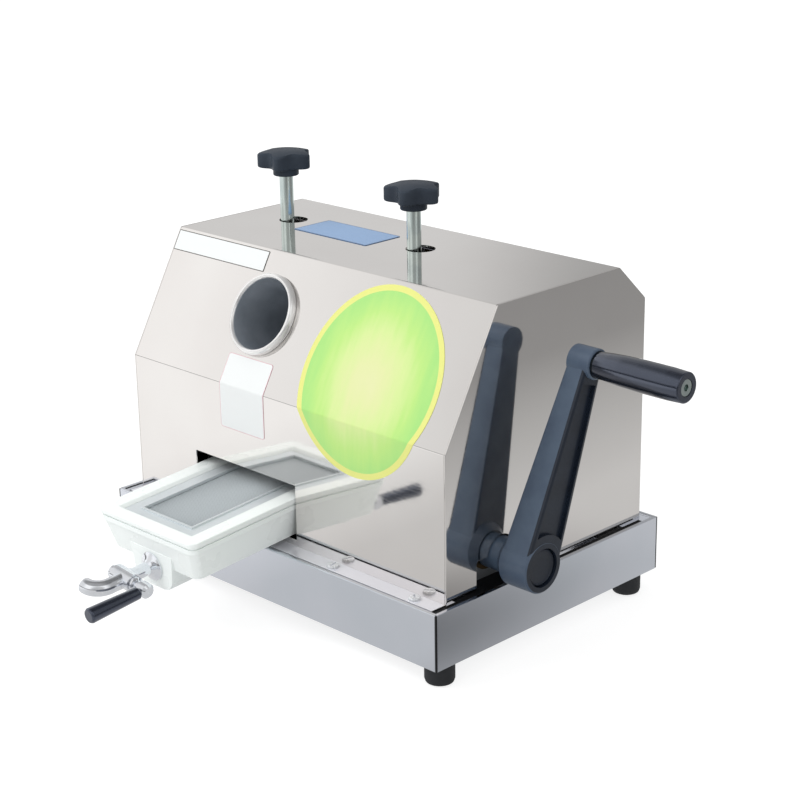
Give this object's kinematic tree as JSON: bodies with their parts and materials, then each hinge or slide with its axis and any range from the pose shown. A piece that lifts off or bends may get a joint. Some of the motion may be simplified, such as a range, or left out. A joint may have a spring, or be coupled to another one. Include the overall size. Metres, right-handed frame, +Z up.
{
  "type": "manual sugarcane juicer",
  "caption": "Hand-cranked cane press in a mirror-steel hood with a sloped feed mouth, geared rollers, pressure knobs and a pull-out tray with a tap.",
  "frame": {"origin": "centre of the base on the bench, level with the soles of the feet", "axes": "+X towards the crank, +Y towards the back, +Z up"},
  "size_m": [0.5132, 0.4304, 0.3498],
  "materials": {
    "mirror_steel": "mirror-polished stainless sheet",
    "base_steel": "polished stainless sheet",
    "foot_rubber": "black rubber",
    "cast_frame": "grey cast iron",
    "roller_steel": "turned steel",
    "gear_iron": "oiled cast gear",
    "bronze": "bearing bronze",
    "crank_paint": "blue-black gloss paint on a casting",
    "black_gloss": "glossy black plastic",
    "knob_plastic": "blue-black moulded plastic",
    "zinc_rod": "zinc-plated rod",
    "tray_plastic": "milky white polypropylene",
    "strainer_steel": "pressed stainless strainer",
    "tap_chrome": "bright chrome plate"
  },
  "bodies": {
    "frame": {"hood_shell": "mirror_steel", "left_side_panel": "mirror_steel", "right_side_panel": "mirror_steel", "feed_tube": "mirror_steel", "base_front_panel": "base_steel", "base_rear_panel": "base_steel", "base_left_rail": "base_steel", "base_right_rail": "base_steel", "base_deck": "base_steel", "bagasse_chute": "base_steel", "feed_apron": "base_steel", "tray_cradle": "base_steel", "foot_front_left": "foot_rubber", "foot_front_right": "foot_rubber", "foot_rear_left": "foot_rubber", "foot_rear_right": "foot_rubber", "left_cheek": "cast_frame", "right_cheek": "cast_frame", "left_yoke": "cast_frame", "right_yoke": "cast_frame", "crank_stand": "cast_frame", "front_tie_bar": "roller_steel", "rear_tie_bar": "roller_steel", "front_left_bush": "bronze", "front_right_bush": "bronze", "rear_left_bush": "bronze", "rear_right_bush": "bronze", "crank_bush": "bronze"},
    "crank": {"crank_shaft": "roller_steel", "crank_pinion": "gear_iron", "crank_arm": "crank_paint", "crank_cap": "crank_paint", "grip_spindle": "zinc_rod"},
    "grip": {"crank_grip": "black_gloss"},
    "front_roll": {"front_roller": "roller_steel", "front_shaft": "roller_steel", "front_gear": "gear_iron", "drive_gear": "gear_iron"},
    "rear_roll": {"rear_roller": "roller_steel", "rear_shaft": "roller_steel", "rear_gear": "gear_iron"},
    "carriage": {"left_block": "bronze", "right_block": "bronze"},
    "top_roll": {"top_roller": "roller_steel", "top_shaft": "roller_steel", "top_gear": "gear_iron"},
    "left_press": {"left_screw": "zinc_rod", "left_knob": "knob_plastic"},
    "right_press": {"right_screw": "zinc_rod", "right_knob": "knob_plastic"},
    "tray": {"juice_tray": "tray_plastic", "tray_lid": "tray_plastic", "strainer": "strainer_steel"},
    "tap": {"tap_body": "tap_chrome", "tap_spout": "tap_chrome", "tap_locknut": "tap_chrome"},
    "tap_handle": {"tap_plug": "tap_chrome", "tap_lever": "tap_chrome", "tap_grip": "black_gloss"}
  },
  "joints": [
    {"name": "crank_turn", "type": "hinge", "parent": "frame", "child": "crank", "pos_m": [0.2, -0.0526, 0.0873], "axis": [1, 0, 0], "continuous": true},
    {"name": "grip_spin", "type": "hinge", "parent": "crank", "child": "grip", "pos_m": [0.275, -0.00435, 0.23985], "axis": [1, 0, 0], "continuous": true},
    {"name": "front_roller_turn", "type": "hinge", "parent": "frame", "child": "front_roll", "pos_m": [-0.044, -0.0153, 0.1659], "axis": [1, 0, 0], "continuous": true},
    {"name": "rear_roller_turn", "type": "hinge", "parent": "frame", "child": "rear_roll", "pos_m": [-0.044, 0.0577, 0.1659], "axis": [1, 0, 0], "continuous": true},
    {"name": "top_roller_lift", "type": "slide", "parent": "frame", "child": "carriage", "axis": [0, 0, 1], "range_m": [0, 0.0035]},
    {"name": "top_roller_turn", "type": "hinge", "parent": "carriage", "child": "top_roll", "pos_m": [-0.044, 0.0212, 0.21847], "axis": [1, 0, 0], "continuous": true},
    {"name": "left_screw_turn", "type": "hinge", "parent": "carriage", "child": "left_press", "pos_m": [-0.133, 0.0212, 0.3], "axis": [0, 0, 1], "range_deg": [0, 720]},
    {"name": "right_screw_turn", "type": "hinge", "parent": "carriage", "child": "right_press", "pos_m": [0.022, 0.0212, 0.3], "axis": [0, 0, 1], "range_deg": [0, 720]},
    {"name": "tray_pull", "type": "slide", "parent": "frame", "child": "tray", "axis": [0, -0.9969, -0.0785], "range_m": [0, 0.19]},
    {"name": "tap_swivel", "type": "hinge", "parent": "tray", "child": "tap", "pos_m": [-0.0445, -0.24119, 0.0576], "axis": [0, -0.9969, -0.0785], "range_deg": [0, 96]},
    {"name": "tap_lever_turn", "type": "hinge", "parent": "tap", "child": "tap_handle", "pos_m": [-0.0445, -0.24119, 0.0576], "axis": [-0.9945, -0.0082, 0.1042], "range_deg": [0, 90]}
  ],
  "couplings": [
    {"joint": "front_roller_turn", "follows": "crank_turn", "ratio": -0.31818},
    {"joint": "rear_roller_turn", "follows": "crank_turn", "ratio": -0.31818},
    {"joint": "top_roller_turn", "follows": "crank_turn", "ratio": 0.31818},
    {"joint": "left_screw_turn", "follows": "top_roller_lift", "rad_per_m": 3590.4},
    {"joint": "right_screw_turn", "follows": "top_roller_lift", "rad_per_m": 3590.4}
  ]
}
